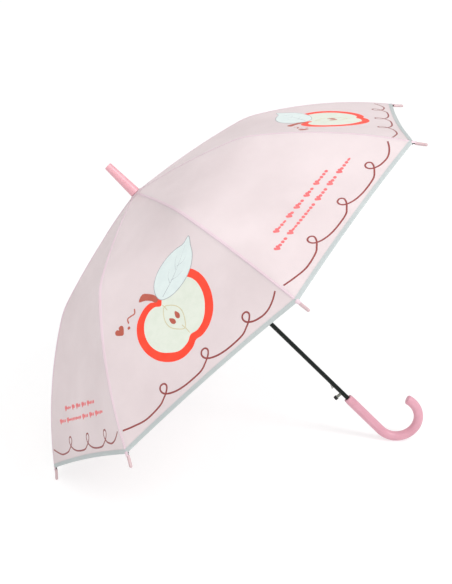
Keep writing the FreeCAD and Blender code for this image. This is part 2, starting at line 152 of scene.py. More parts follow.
def film_point(azimuth, s, v, lift=0.0):
    """A point of the film: s along from the hub, v from -1 at one rib to 1 at the next, lifted off the surface."""
    edge, middle = SEAM_PROFILE.at(s), MIDDLE_PROFILE.at(s)
    round_share = 1 - v * v
    x_seam = edge[0] + (middle[0] - edge[0]) * round_share
    z = edge[1] + (middle[1] - edge[1]) * round_share
    slope = edge[2] + (middle[2] - edge[2]) * round_share
    half = edge[0] * math.sin(HALF_GORE)
    depth = slack(s, v) - lift
    radius = x_seam * SQUEEZE - depth * math.sin(slope)
    height = z - depth * math.cos(slope)
    return around(azimuth, radius, half * v, height)


def hem_end(v):
    """Distance from hub to hem at this place across a gore."""
    return TOTAL - HEM_SAG * (1 - v * v)


def to_sv(u, t):
    """Millimetres across and along a gore to the film's own s and v."""
    s = t_to_s(t)
    half = SEAM_PROFILE.at(s)[0] * math.sin(HALF_GORE)
    return s, u / half


def middle_lengths():
    """Length along the middle of a gore for each millimetre of rib."""
    out, total = [0.0], 0.0
    for n in range(int(TOTAL) + 20):
        a, b = SEAM_PROFILE.at(n), SEAM_PROFILE.at(n + 1)
        total += math.hypot((b[0] - a[0]) * SQUEEZE, b[1] - a[1])
        out.append(total)
    return out


MIDDLE = middle_lengths()


def t_to_s(t):
    low, high = 0, len(MIDDLE) - 1
    while high - low > 1:
        mid = (low + high) // 2
        if MIDDLE[mid] <= t:
            low = mid
        else:
            high = mid
    return low + (t - MIDDLE[low]) / (MIDDLE[low + 1] - MIDDLE[low])


# ---------------------------------------------------------------- materials

def linear(*srgb):
    """sRGB 0-255 to a linear colour."""
    out = []
    for c in srgb:
        c /= 255
        out.append(c / 12.92 if c <= 0.04045 else ((c + 0.055) / 1.055) ** 2.4)
    return (*out, 1.0)


class Material:
    """A small helper around a node tree with one Principled shader."""

    def __init__(self, name):
        self.data = bpy.data.materials.new(name)
        self.data.use_nodes = True
        self.tree = self.data.node_tree
        self.nodes, self.links = self.tree.nodes, self.tree.links
        self.shader = self.nodes["Principled BSDF"]
        self.output = self.nodes["Material Output"]
        self.coords = self.add("ShaderNodeTexCoord").outputs["Object"]

    def add(self, kind, **values):
        node = self.nodes.new(kind)
        for key, value in values.items():
            setattr(node, key, value)
        return node

    def set(self, **sockets):
        for name, value in sockets.items():
            self.shader.inputs[name.replace("_", " ")].default_value = value
        return self

    def link(self, source, target):
        self.links.new(source, target)

    def noise(self, scale, detail=3.0, roughness=0.5, distortion=0.0):
        node = self.add("ShaderNodeTexNoise")
        node.inputs["Scale"].default_value = scale
        node.inputs["Detail"].default_value = detail
        node.inputs["Roughness"].default_value = roughness
        node.inputs["Distortion"].default_value = distortion
        self.link(self.coords, node.inputs["Vector"])
        return node.outputs["Fac"]

    def ramp(self, source, low, high, start=0.3, end=0.7):
        node = self.add("ShaderNodeValToRGB")
        for element, place, colour in zip(node.color_ramp.elements, (start, end), (low, high)):
            element.position, element.color = place, colour
        self.link(source, node.inputs["Fac"])
        return node.outputs["Color"]

    def level(self, source, low, high):
        node = self.add("ShaderNodeMapRange")
        node.inputs["From Min"].default_value, node.inputs["From Max"].default_value = 0.3, 0.7
        node.inputs["To Min"].default_value, node.inputs["To Max"].default_value = low, high
        self.link(source, node.inputs["Value"])
        return node.outputs["Result"]

    def bump(self, source, strength, distance, normal=None):
        node = self.add("ShaderNodeBump")
        node.inputs["Strength"].default_value = strength
        node.inputs["Distance"].default_value = distance
        self.link(source, node.inputs["Height"])
        if normal is not None:
            self.link(normal, node.inputs["Normal"])
        return node.outputs["Normal"]

    def math(self, operation, a, b):
        node = self.add("ShaderNodeMath", operation=operation)
        for socket, value in zip(node.inputs, (a, b)):
            if isinstance(value, (int, float)):
                socket.default_value = value
            else:
                self.link(value, socket)
        return node.outputs[0]


def film_material(name, low, high, translucent, roughness=(0.34, 0.5)):
    """Frosted umbrella film: fine grain, soft creases, light coming through from behind."""
    m = Material(name)
    m.set(IOR=1.46, Specular_IOR_Level=0.45, Sheen_Weight=0.12, Sheen_Roughness=0.4)
    broad = m.noise(9.0, 4.0, 0.55)
    colour = m.ramp(broad, low, high)
    m.link(colour, m.shader.inputs["Base Color"])
    m.link(m.level(m.noise(60.0, 3.0), *roughness), m.shader.inputs["Roughness"])
    grain = m.bump(m.noise(2600.0, 2.0), 0.10, 0.0002)
    creases = m.bump(m.noise(26.0, 5.0, 0.6, 1.4), 0.30, 0.0012, grain)
    m.link(creases, m.shader.inputs["Normal"])
    behind = m.add("ShaderNodeBsdfTranslucent")
    m.link(colour, behind.inputs["Color"])
    m.link(creases, behind.inputs["Normal"])
    mix = m.add("ShaderNodeMixShader")
    mix.inputs["Fac"].default_value = translucent
    m.link(m.shader.outputs[0], mix.inputs[1])
    m.link(behind.outputs[0], mix.inputs[2])
    m.link(mix.outputs[0], m.output.inputs["Surface"])
    return m.data


def plastic_material(name, low, high, roughness, grain=900.0, coat=0.0, bump=0.05, subsurface=0.0):
    """Moulded plastic with slight mottling, fine surface grain and uneven gloss."""
    m = Material(name)
    m.set(IOR=1.49, Coat_Weight=coat, Coat_Roughness=0.18, Subsurface_Weight=subsurface, Subsurface_Scale=0.004)
    m.shader.inputs["Subsurface Radius"].default_value = (1.0, 0.45, 0.4)
    m.link(m.ramp(m.noise(45.0, 4.0, 0.6), low, high), m.shader.inputs["Base Color"])
    m.link(m.level(m.noise(120.0, 4.0), *roughness), m.shader.inputs["Roughness"])
    fine = m.bump(m.noise(grain, 2.0), bump, 0.0003)
    waves = m.bump(m.noise(38.0, 2.0), 0.08, 0.0006, fine)
    m.link(waves, m.shader.inputs["Normal"])
    return m.data


def metal_material(name, low, high, roughness, metallic, specular=0.5, scratches=0.05):
    """Painted or plated steel with fine scratches along no particular way and uneven gloss."""
    m = Material(name)
    m.set(Metallic=metallic, Specular_IOR_Level=specular)
    m.link(m.ramp(m.noise(150.0, 5.0, 0.65), low, high), m.shader.inputs["Base Color"])
    m.link(m.level(m.noise(300.0, 4.0), *roughness), m.shader.inputs["Roughness"])
    m.link(m.bump(m.noise(1100.0, 4.0, 0.7, 2.0), scratches, 0.0002), m.shader.inputs["Normal"])
    return m.data


def ink_material(name, colour, shade):
    """Screen-printed ink: matt, slightly uneven cover."""
    m = Material(name)
    m.set(IOR=1.45, Specular_IOR_Level=0.35)
    m.link(m.ramp(m.noise(75.0, 5.0, 0.6), shade, colour, 0.25, 0.6), m.shader.inputs["Base Color"])
    m.link(m.level(m.noise(220.0, 3.0), 0.42, 0.6), m.shader.inputs["Roughness"])
    m.link(m.bump(m.noise(1500.0, 3.0), 0.12, 0.0002), m.shader.inputs["Normal"])
    return m.data


BUTTON_HEAD = 12.4                      # distance from the shaft's axis where the black head starts


def button_material():
    """Grey stem with a black head, split at the head's shoulder."""
    m = Material("release_button")
    m.set(IOR=1.49)
    along = m.add("ShaderNodeVectorMath", operation="DOT_PRODUCT")
    along.inputs[1].default_value = LOW_SIDE
    m.link(m.coords, along.inputs[0])
    on_head = m.math("GREATER_THAN", along.outputs["Value"], LOW_SIDE.dot(ORIGIN) + BUTTON_HEAD * MM)
    mottle = m.noise(160.0, 4.0, 0.6)
    mix = m.add("ShaderNodeMix", data_type="RGBA")
    m.link(on_head, mix.inputs["Factor"])
    m.link(m.ramp(mottle, linear(112, 117, 108), linear(134, 139, 129)), mix.inputs["A"])
    m.link(m.ramp(mottle, linear(16, 17, 17), linear(28, 29, 28)), mix.inputs["B"])
    m.link(mix.outputs["Result"], m.shader.inputs["Base Color"])
    m.link(m.level(m.noise(220.0, 3.0), 0.32, 0.46), m.shader.inputs["Roughness"])
    m.link(m.bump(m.noise(900.0, 2.0), 0.06, 0.0003), m.shader.inputs["Normal"])
    return m.data


FILM_MATERIAL = film_material("canopy_film", linear(232, 221, 222), linear(240, 230, 231), 0.34)
BINDING_MATERIAL = film_material("hem_binding", linear(212, 219, 219), linear(222, 228, 227), 0.38)
# Seam film: the real folded allowance, tinted pinker than the canopy as a painted highlight of light coming through
# along the seams
SEAM_FILM_WITH_PAINTED_HIGHLIGHT = film_material("seam_band_and_highlight", linear(234, 212, 220), linear(241, 221, 229), 0.22)
THREAD_MATERIAL = ink_material("thread", linear(206, 196, 199), linear(190, 180, 184))
ROSETTE_MATERIAL = film_material("rosette_film", linear(234, 214, 220), linear(240, 224, 229), 0.3)
RED = ink_material("ink_coral_red", linear(251, 74, 52), linear(243, 63, 43))
FLESH = ink_material("ink_flesh", linear(220, 225, 213), linear(212, 219, 205))
PALE = ink_material("ink_pale", linear(218, 229, 227), linear(211, 222, 221))
BROWN = ink_material("ink_brown", linear(185, 96, 80), linear(174, 86, 72))
LINE = ink_material("ink_line", linear(148, 74, 72), linear(134, 62, 62))
CORAL = ink_material("ink_coral", linear(230, 118, 120), linear(221, 106, 110))
STONE = ink_material("ink_stone", linear(206, 196, 160), linear(196, 186, 150))
GREY = ink_material("ink_grey", linear(166, 170, 174), linear(150, 154, 160))

PINK_PLASTIC = plastic_material("pink_plastic", linear(211, 152, 167), linear(219, 163, 177), (0.32, 0.44),
                                subsurface=0.04)
PALE_PINK_PLASTIC = plastic_material("pale_pink_plastic", linear(222, 161, 171), linear(230, 174, 183), (0.30, 0.42),
                                     subsurface=0.04)
TIP_PLASTIC = plastic_material("tip_plastic", linear(193, 166, 169), linear(204, 178, 181), (0.32, 0.45),
                               subsurface=0.05)
WHITE_PLASTIC = plastic_material("white_plastic", linear(226, 226, 226), linear(236, 235, 234), (0.38, 0.5))
SHAFT_PAINT = metal_material("shaft_paint", linear(12, 19, 17), linear(20, 28, 25), (0.24, 0.36), 0.0, specular=0.22)
RIB_STEEL = metal_material("rib_steel", linear(30, 31, 33), linear(46, 47, 49), (0.30, 0.45), 0.0, specular=0.35)
# Dark red-brown for the ring in the handle's mouth: painted shade of the recess
MOUTH_SHADE_MATERIAL = plastic_material("mouth_painted_shade", linear(92, 34, 40), linear(112, 44, 50), (0.45, 0.6))
BARE_STEEL = metal_material("bare_steel", linear(150, 150, 148), linear(184, 184, 180), (0.25, 0.40), 1.0)

BUTTON_MATERIAL = button_material()

CAD_FINISH = {
    "handle": PINK_PLASTIC, "ferrule": PALE_PINK_PLASTIC, "rosette": ROSETTE_MATERIAL, "crown_notch": WHITE_PLASTIC,
    "crown_wire": BARE_STEEL, "runner_wire": BARE_STEEL, "runner_stop": BARE_STEEL, "main_spring": BARE_STEEL,
    "bottom_catch": BARE_STEEL, "runner": WHITE_PLASTIC, "release_button": BUTTON_MATERIAL, "shaft_tube": SHAFT_PAINT,
    "rib_tip": TIP_PLASTIC, "rib_inner": RIB_STEEL, "rib_outer": RIB_STEEL, "stretcher": RIB_STEEL,
    "gore_inner": FILM_MATERIAL, "gore_outer": FILM_MATERIAL,
}


def finish_cad_nodes():
    for name, node in frame["nodes"].items():
        kind = name.rstrip("0123456789").rstrip("_")
        for place in node.material_slots:
            place.material = CAD_FINISH[kind]
        for polygon in node.data.polygons:
            polygon.use_smooth = True


# ---------------------------------------------------------------- mesh helpers

def new_object(name, vertices, faces, material):
    mesh = bpy.data.meshes.new(name)
    mesh.from_pydata([tuple(v) for v in vertices], [], faces)
    work = bmesh.new()
    work.from_mesh(mesh)
    bmesh.ops.recalc_face_normals(work, faces=work.faces)
    work.to_mesh(mesh)
    work.free()
    mesh.materials.append(material)
    mesh.polygons.foreach_set("use_smooth", [True] * len(mesh.polygons))
    mesh.set_sharp_from_angle(angle=math.radians(38))
    obj = bpy.data.objects.new(name, mesh)
    bpy.context.scene.collection.objects.link(obj)
    return obj


class Layer:
    """Closed shapes gathered into one object."""

    def __init__(self):
        self.vertices, self.faces = [], []

    def add(self, vertices, faces):
        start = len(self.vertices)
        self.vertices += vertices
        self.faces += [tuple(start + i for i in f) for f in faces]

    def sheet(self, outer, inner, rows, columns):
        """Two grids of points, outer and inner face, joined round their rims."""
        count = rows * columns
        top = [(r * columns + c, r * columns + c + 1, (r + 1) * columns + c + 1, (r + 1) * columns + c)
               for r in range(rows - 1) for c in range(columns - 1)]
        rim = list(range(columns)) + [r * columns + columns - 1 for r in range(1, rows)]
        rim += [(rows - 1) * columns + c for c in range(columns - 2, -1, -1)]
        rim += [r * columns for r in range(rows - 2, 0, -1)]
        sides = [(rim[i], rim[i - 1], count + rim[i - 1], count + rim[i]) for i in range(len(rim))]
        self.add(outer + inner, top + [tuple(count + i for i in reversed(f)) for f in top] + sides)

    def area(self, outline, place, low, high, spacing=7.0):
        """A flat outline filled with triangles and laid on the film between two lifts."""
        ring = [Vector(p) for p in outline]
        xs, ys = [p.x for p in ring], [p.y for p in ring]
        inside = [Vector((min(xs) + spacing * a, min(ys) + spacing * b))
                  for a in range(1, int((max(xs) - min(xs)) / spacing) + 1)
                  for b in range(1, int((max(ys) - min(ys)) / spacing) + 1)]
        inside = [p for p in inside if in_polygon(p, ring) and min((p - q).length for q in ring) > spacing * 0.45]
        edges = [(i, (i + 1) % len(ring)) for i in range(len(ring))]
        flat, _, faces, *_ = delaunay_2d_cdt(ring + inside, edges, [], 1, 1e-6)
        count = len(flat)
        used = set()
        for face in faces:
            used |= {(a, b) for a, b in zip(face, list(face[1:]) + [face[0]])}
        sides = [(a, b, count + b, count + a) for a, b in used if (b, a) not in used]
        self.add([place(p[0], p[1], low) for p in flat] + [place(p[0], p[1], high) for p in flat],
                 [tuple(count + i for i in f) for f in faces] + [tuple(reversed(f)) for f in faces] + sides)

    def stroke(self, path, width, place, low, high, closed=False, taper=False):
        """A line of ink with a low crown, drawn along points (u, t) or (u, t, extra lift)."""
        points = [tuple(p) + (0.0,) * (3 - len(p)) for p in path]
        outer, inner = [], []
        rows = points + points[:1] if closed else points
        for n, (u, t, extra) in enumerate(rows):
            before = points[n - 1] if closed or n else points[0]
            after = points[(n + 1) % len(points)] if closed or n + 1 < len(points) else points[-1]
            way = Vector((after[0] - before[0], after[1] - before[1])).normalized()
            side = Vector((-way.y, way.x)) * width / 2
            if taper:
                side *= 1 - 0.85 * n / (len(rows) - 1)
            for across, rise in ((-1, 0.35), (0, 1), (1, 0.35)):
                at = (u + side.x * across, t + side.y * across)
                outer.append(place(*at, low + (high - low) * rise + extra))
                inner.append(place(*at, low))
        self.sheet(outer, inner, len(rows), 3)

    def dash(self, start, end, across, up):
        """One stitch: a short lens of thread."""
        middle = (start + end) / 2
        self.add([start, end, middle + across, middle + up, middle - across, middle - up],
                 [(0, 2, 3), (0, 3, 4), (0, 4, 5), (0, 5, 2), (1, 3, 2), (1, 4, 3), (1, 5, 4), (1, 2, 5)])

    def build(self, name, material):
        return new_object(name, self.vertices, self.faces, material)


def in_polygon(point, ring):
    inside = False
    for a, b in zip(ring, ring[1:] + ring[:1]):
        if (a.y > point.y) != (b.y > point.y) and point.x < (b.x - a.x) * (point.y - a.y) / (b.y - a.y) + a.x:
            inside = not inside
    return inside


def spline(points, steps, closed=False):
    """Points along a Catmull-Rom curve through the given ones."""
    n = len(points)
    out = []
    for i in range(n if closed else n - 1):
        a, b, c, d = (points[j % n] if closed else points[min(max(j, 0), n - 1)] for j in (i - 1, i, i + 1, i + 2))
        for k in range(steps):
            f = k / steps
            out.append(tuple(0.5 * (2 * q + (r - p) * f + (2 * p - 5 * q + 4 * r - s) * f * f
                                    + (3 * q - p - 3 * r + s) * f ** 3) for p, q, r, s in zip(a, b, c, d)))
    return out if closed else out + [tuple(points[-1])]


# ---------------------------------------------------------------- canopy

def gore_place(number):
    """Print coordinates of one gore, millimetres across and down from the top, to the row frame."""
    azimuth = gore_azimuth(number)

    def place(u, t, lift):
        s, v = to_sv(u, t)
        return film_point(azimuth, s, v, lift)
    return place


def fold_with_gore(piece, number, half):
    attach(piece, f"gore_{half}_{number}")
    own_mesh(piece)
    return piece


def film_sheet(name, azimuth, starts, ends, rows):
    """A piece of film between two distances from the hub, each given as a function of v."""
    outer, inner = [], []
    for r in range(rows):
        for c in range(COLUMNS):
            v = -1 + 2 * c / (COLUMNS - 1)
            s = starts(v) + (ends(v) - starts(v)) * r / (rows - 1)
            outer.append(film_point(azimuth, s, v, FILM))
            inner.append(film_point(azimuth, s, v))
    layer = Layer()
    layer.sheet(outer, inner, rows, COLUMNS)
    return layer.build(name, FILM_MATERIAL)


def flat_area(low, high):
    """Flat area in square metres of a gore between two distances from the hub."""
    total, steps = 0.0, 200
    for n in range(steps):
        a, b = (low + (high - low) * (n + k) / steps for k in (0, 1))
        total += (gore_length(b) - gore_length(a)) * gore_width((a + b) / 2)
    return total


def gore_width(s):
    return 2 * SEAM_PROFILE.at(s)[0] * math.sin(HALF_GORE) * MM


def gore_length(s):
    low = int(s)
    return (MIDDLE[low] + (MIDDLE[low + 1] - MIDDLE[low]) * (s - low)) * MM


BINDING_WIDTH = 6.6
BINDING_OUTSIDE = ((-BINDING_WIDTH, -0.42), (-3.8, -0.46), (-0.4, -0.46), (0.2, -0.2), (0.4, 0.12), (0.2, 0.45),
                   (-0.4, 0.72), (-2.6, 0.70), (-5.0, 0.72), (-BINDING_WIDTH, 0.68))
BINDING_INSIDE = ((-BINDING_WIDTH, -0.10), (-3.8, -0.10), (-0.4, -0.10), (-0.1, -0.05), (0.05, 0.12), (-0.1, 0.25),
                  (-0.4, 0.35), (-2.6, 0.35), (-5.0, 0.35), (-BINDING_WIDTH, 0.35))


def hem_binding(number):
    """Tape folded over the hem, with slight puckers along its stitched edge."""
    azimuth = gore_azimuth(number)
    columns = 120
    grids = []
    for outline, stiff in ((BINDING_OUTSIDE, 1.0), (BINDING_INSIDE, 0.0)):
        grid = []
        for row, (back, lift) in enumerate(outline):
            for c in range(columns):
                v = -1 + 2 * c / (columns - 1)
                pucker = stiff * 0.10 * math.sin(v * 95 + number * 1.7) * math.sin(math.pi * row / (len(outline) - 1))
                grid.append(film_point(azimuth, hem_end(v) + back, v, lift + pucker))
        grids.append(grid)
    layer = Layer()
    layer.sheet(grids[0], grids[1], len(BINDING_OUTSIDE), columns)
    return layer.build(f"hem_binding_{number}", BINDING_MATERIAL)


STITCH_LENGTH, STITCH_GAP = 2.3, 1.1


def hem_stitching(number):
    azimuth = gore_azimuth(number)
    layer = Layer()
    half = gore_width(TOTAL - BINDING_WIDTH) / MM / 2 - 3
    count = int(2 * half / (STITCH_LENGTH + STITCH_GAP))
    for side, lift in ((1, 0.74), (-1, -0.46)):
        for n in range(count):
            u = -half + n * (STITCH_LENGTH + STITCH_GAP)
            ends = []
            for w in (u, u + STITCH_LENGTH):
                v = w / (half + 3)
                ends.append(film_point(azimuth, hem_end(v) - BINDING_WIDTH + 1.4, v, lift))
            v = u / (half + 3)
            up = (film_point(azimuth, TOTAL - 8, v, lift + 0.16) - film_point(azimuth, TOTAL - 8, v, lift)) * side
            across = up.cross(ends[1] - ends[0]).normalized() * 0.22 * MM
            layer.dash(ends[0], ends[1], across, up)
    return layer.build(f"hem_stitching_{number}", THREAD_MATERIAL)


def seam_point(number, s, across, lift):
    """A point this far to either side of rib `number`, on the gore that lies there."""
    half = SEAM_PROFILE.at(s)[0] * math.sin(HALF_GORE)
    low_v, high_v = 1 - abs(across) / half, -1 + abs(across) / half
    before = film_point(gore_azimuth(number), s, low_v if across < 0 else 1.0, lift)
    after = film_point(gore_azimuth(number + 1), s, high_v if across > 0 else -1.0, lift)
    return before if across < 0 else after if across > 0 else (before + after) / 2


SEAM_HIGHLIGHT_SWELL = 2.2                       # extra width on one side, half way down a rib: the folded allowance widened into a painted pink highlight band
SEAM_SECTION = ((-1.9, 0.24), (-1.6, 0.50), (-0.9, 0.60), (0.0, 0.78), (1.1, 0.58), (2.2, 0.46), (2.6, 0.24))


def seam_band_and_highlight(number, half, start, end):
    """Folded seam allowance along a rib, with a row of stitches. Its pinker film and its swell on one side are a
    painted highlight.
    """
    rows = int((end - start) / 3.0)
    outer, inner = [], []
    for r in range(rows + 1):
        s = start + (end - start) * r / rows
        wander = 0.12 * math.sin(s / 7.3 + number * 2.1) + 0.08 * math.sin(s / 2.9 + number)
        widen = min(1.0, SEAM_PROFILE.at(s)[0] * math.sin(HALF_GORE) / 4.5)
        for across, lift in SEAM_SECTION:
            if across > 2:
                across += wander + SEAM_HIGHLIGHT_SWELL * math.sin(math.pi * min(s / TOTAL, 1.0)) ** 2
            outer.append(seam_point(number, s, across * widen, lift))
            inner.append(seam_point(number, s, across * widen, -0.02))
    band = Layer()
    band.sheet(outer, inner, rows + 1, len(SEAM_SECTION))
    stitches = Layer()
    first = start + (8 if half == "inner" else 3)
    for n in range(int((end - first - 2) / (STITCH_LENGTH + STITCH_GAP))):
        s = first + n * (STITCH_LENGTH + STITCH_GAP)
        for side in (-1.3, 1.7):
            a, b = seam_point(number, s, side, 0.64), seam_point(number, s + STITCH_LENGTH, side, 0.64)
            middle = s + STITCH_LENGTH / 2
            up = seam_point(number, middle, side, 0.84) - seam_point(number, middle, side, 0.64)
            stitches.dash(a, b, up.cross(b - a).normalized() * 0.2 * MM, up)
    pieces = [band.build(f"seam_band_{half}_{number}", SEAM_FILM_WITH_PAINTED_HIGHLIGHT),
              stitches.build(f"seam_stitching_{half}_{number}", THREAD_MATERIAL)]
    for piece in pieces:
        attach(piece, f"rib_{half}_{number}")
    return pieces


TIP_SLOPE = math.radians(46.0)
TIP_DEPTH, TAB_REACH, TAB_RADIUS = 2.35, 4.6, 2.62


def corner_tab(number):
    """Folded corner of the film, drawn over the end of the rib and tied to the cap."""
    azimuth = rib_azimuth(number)
    end_x, end_z, slope = SEAM_PROFILE.at(TOTAL)
    start = (end_x - TIP_DEPTH * math.sin(slope), end_z - TIP_DEPTH * math.cos(slope))
    rows, columns = 13, 17
    outer, inner = [], []
    for r in range(rows):
        f = r / (rows - 1)
        along = -2.6 + (TAB_REACH + 2.6) * f
        open_angle = math.radians(62 - 10 * f)
        swell = TAB_RADIUS + 0.30 + 1.5 * (1 - f) ** 2 + 0.10 * math.sin(9 * f)
        for c in range(columns):
            a = -open_angle + 2 * open_angle * c / (columns - 1)
            crimp = 0.06 * math.cos(7 * a) * f
            for grid, extra in ((outer, 0.16), (inner, -0.12)):
                rise, side = (swell + crimp + extra) * math.cos(a) - 0.9 * (1 - f) ** 2, (swell + extra) * math.sin(a)
                x = start[0] + along * math.cos(TIP_SLOPE) + rise * math.sin(TIP_SLOPE)
                z = start[1] - along * math.sin(TIP_SLOPE) + rise * math.cos(TIP_SLOPE)
                grid.append(around(azimuth, x, side, z))
    layer = Layer()
    layer.sheet(outer, inner, rows, columns)
    # The corner tabs share the seam film and its painted pink highlight tint
    piece = layer.build(f"corner_tab_{number}", SEAM_FILM_WITH_PAINTED_HIGHLIGHT)
    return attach(piece, f"rib_outer_{number}")


# ---------------------------------------------------------------- prints

PRINT_LOW = FILM - 0.04
FIRST, SECOND, THIRD = FILM + 0.09, FILM + 0.16, FILM + 0.24

# Apple half, in its own millimetres: right, down
APPLE_RIND = ((-2, -45), (9, -53), (28, -56), (50, -48), (65, -27), (69, -2), (62, 24), (47, 44), (28, 54), (11, 55),
              (0, 51), (-12, 54), (-30, 51), (-46, 39), (-58, 19), (-62, -5), (-57, -29), (-43, -47), (-24, -54),
              (-10, -52))
APPLE_FLESH = ((-1, -32), (9, -40), (27, -44), (44, -38), (55, -20), (57, -2), (51, 18), (39, 33), (25, 42), (11, 43.5),
               (0, 39), (-11, 42.5), (-26, 40), (-37, 30), (-47, 15), (-50.5, -4), (-46, -23), (-35, -37), (-21, -42.5),
               (-9, -40))
APPLE_CORE = ((1, -26), (8, -20), (14, -9), (15, 3), (10, 15), (1, 25), (-8, 15), (-13, 3), (-12, -9), (-6, -20))
APPLE_CORE_ENDS = (((1, -32), (1.5, -27), (1, -19)), ((1, 19), (1.4, 30), (1, 38)))
APPLE_SEED = ((0, -7.5), (3.0, -2.5), (3.6, 2.5), (1.8, 6.0), (0, 6.8), (-1.8, 6.0), (-3.6, 2.5), (-3.0, -2.5))
APPLE_STEM = ((-3, -43), (-6, -52), (-12, -62), (-20, -70), (-9, -74), (-1, -63), (3, -53), (3, -44))
APPLE_CENTRE, APPLE_TURN, APPLE_GROWTH = (2.0, 353.0), math.radians(14.0), 1.06
LEAF = ((-2, 313), (-7, 298), (-2, 281), (13, 267), (34, 260), (54, 260), (70, 264), (84, 261), (80, 276), (75, 292),
        (62, 307), (42, 317), (18, 320))
LEAF_RIB = ((2, 310), (24, 300), (48, 286), (72, 269))
LEAF_VEINS = (((22, 300), (24, 289), (32, 279)), ((40, 289), (45, 278), (54, 270)), ((26, 298), (38, 301), (50, 300)),
              ((44, 286), (55, 288), (65, 285)))
GREETING_TURN = math.radians(14.0)

BORDER_LOOPS = (-65.0, 16.0, 95.0)
BORDER_LOOP = ((-20, 447.4, 0.0), (-8, 442.6, 0.0), (1.5, 436.6, 0.0), (6.0, 430.2, 0.0), (3.6, 425.0, 0.02),
               (-2.4, 424.6, 0.04), (-5.8, 429.4, 0.05), (-3.8, 436.4, 0.06), (4.5, 442.6, 0.05), (18, 447.2, 0.02),
               (36, 449.4, 0.0))
BORDER_END = [(110.0, 447.4, 0.02), (119.0, 448.2, 0.0), (129.0, 446.2, 0.0), (140.0, 440.8, 0.0), (149.5, 433.5, 0.0)]
BORDER_WIDTH = 2.6


def turned_about(points, centre, angle):
    c, s = math.cos(angle), math.sin(angle)
    return [(centre[0] + p * c + q * s, centre[1] - p * s + q * c) for p, q in points]


def heart(centre, size, angle=0.0):
    outline = ((0, 0.5), (-0.34, 0.16), (-0.5, -0.16), (-0.36, -0.42), (-0.12, -0.42), (0, -0.22), (0.12, -0.42),
               (0.36, -0.42), (0.5, -0.16), (0.34, 0.16))
    return turned_about([(p * size, q * size) for p, q in spline(outline, 4, closed=True)], centre, angle)


def dot(centre, size):
    turns = [k * math.pi / 8 for k in range(16)]
    return [(centre[0] + size / 2 * math.cos(a), centre[1] + size / 2 * math.sin(a)) for a in turns]


def bar(centre, width, height, angle=0.0):
    """A rounded bar."""
    radius = min(width, height) / 2
    ends = []
    for x, y, first in ((1, 1, 0), (-1, 1, 90), (-1, -1, 180), (1, -1, 270)):
        for k in range(5):
            a = math.radians(first + k * 22.5)
            ends.append((x * (width / 2 - radius) + radius * math.cos(a),
                         y * (height / 2 - radius) + radius * math.sin(a)))
    tidy = [p for i, p in enumerate(ends) if math.dist(p, ends[i - 1]) > 0.02]
    return turned_about(tidy, centre, angle)


def border_path():
    """Curls along the hem: shallow swags that cross themselves in a small loop."""
    points = [(-153.0, 437.0, 0.0), (-136.0, 442.5, 0.0), (-112.0, 448.0, 0.0)]
    for centre in BORDER_LOOPS:
        points += [(centre + across, down + 0.02 * centre, lift) for across, down, lift in BORDER_LOOP]
    return points[:-2] + BORDER_END


def print_border(number, place):
    layer = Layer()
    layer.stroke(spline(border_path(), 7), BORDER_WIDTH, place, PRINT_LOW, FIRST)
    return [layer.build(f"print_border_{number}", LINE)]


def print_picture(number, place):
    def shape(points, steps=6):
        grown = [(p * APPLE_GROWTH, q * APPLE_GROWTH) for p, q in spline(points, steps, closed=True)]
        return turned_about(grown, APPLE_CENTRE, APPLE_TURN)

    rind, flesh, core, seeds, stem, leaf, outline, greeting = (Layer() for _ in range(8))
    rind.area(shape(APPLE_RIND), place, PRINT_LOW, FIRST)
    flesh.area(shape(APPLE_FLESH), place, PRINT_LOW, SECOND)
    core.stroke(shape(APPLE_CORE), 1.3, place, SECOND - 0.04, THIRD, closed=True)
    for line in APPLE_CORE_ENDS:
        core.stroke(turned_about(spline(line, 4), APPLE_CENTRE, APPLE_TURN), 1.2, place, SECOND - 0.04, THIRD)
    for side, tilt in ((-4.6, 0.16), (6.6, -0.16)):
        seed = turned_about(spline(APPLE_SEED, 3, closed=True), (side, 1.0), tilt)
        seeds.area(turned_about(seed, APPLE_CENTRE, APPLE_TURN), place, SECOND - 0.04, THIRD, 3.0)
    stem.area(shape(APPLE_STEM, 3), place, PRINT_LOW, THIRD, 4.0)
    leaf.area(spline(LEAF, 5, closed=True), place, PRINT_LOW, THIRD)
    outline.stroke(spline(LEAF, 5, closed=True), 1.1, place, THIRD - 0.05, THIRD + 0.06, closed=True)
    outline.stroke(spline(LEAF_RIB, 6), 1.1, place, THIRD - 0.05, THIRD + 0.06, taper=True)
    for vein in LEAF_VEINS:
        outline.stroke(spline(vein, 5), 0.9, place, THIRD - 0.05, THIRD + 0.04, taper=True)
    greeting.area(turned_about(heart((0, 0), 17), (-84, 306), GREETING_TURN), place, PRINT_LOW, FIRST, 4.0)
    greeting.area(dot((-69, 311), 5.0), place, PRINT_LOW, FIRST, 2.0)
    wave = turned_about([(-12, 3), (-7, -3), (-1, 0), (5, 4), (11, -1)], (-57, 296), GREETING_TURN * 2)
    greeting.stroke(spline(wave, 5), 2.4, place, PRINT_LOW, FIRST)
    kinds = ((rind, "apple_rind", RED), (flesh, "apple_flesh", FLESH), (core, "apple_core", STONE),
             (seeds, "apple_seeds", BROWN), (stem, "apple_stem", BROWN), (leaf, "leaf", PALE),
             (outline, "leaf_lines", GREY), (greeting, "greeting", BROWN))
    return [layer.build(f"print_{kind}_{number}", material) for layer, kind, material in kinds]


ROW_ENDS = (((-75.0, 375.5), (63.0, 380.0)), ((-103.0, 394.5), (97.0, 399.0)))
ROW_GROUPS = ((4, 2, 3, 3, 5), (4, 10, 4, 3, 5))


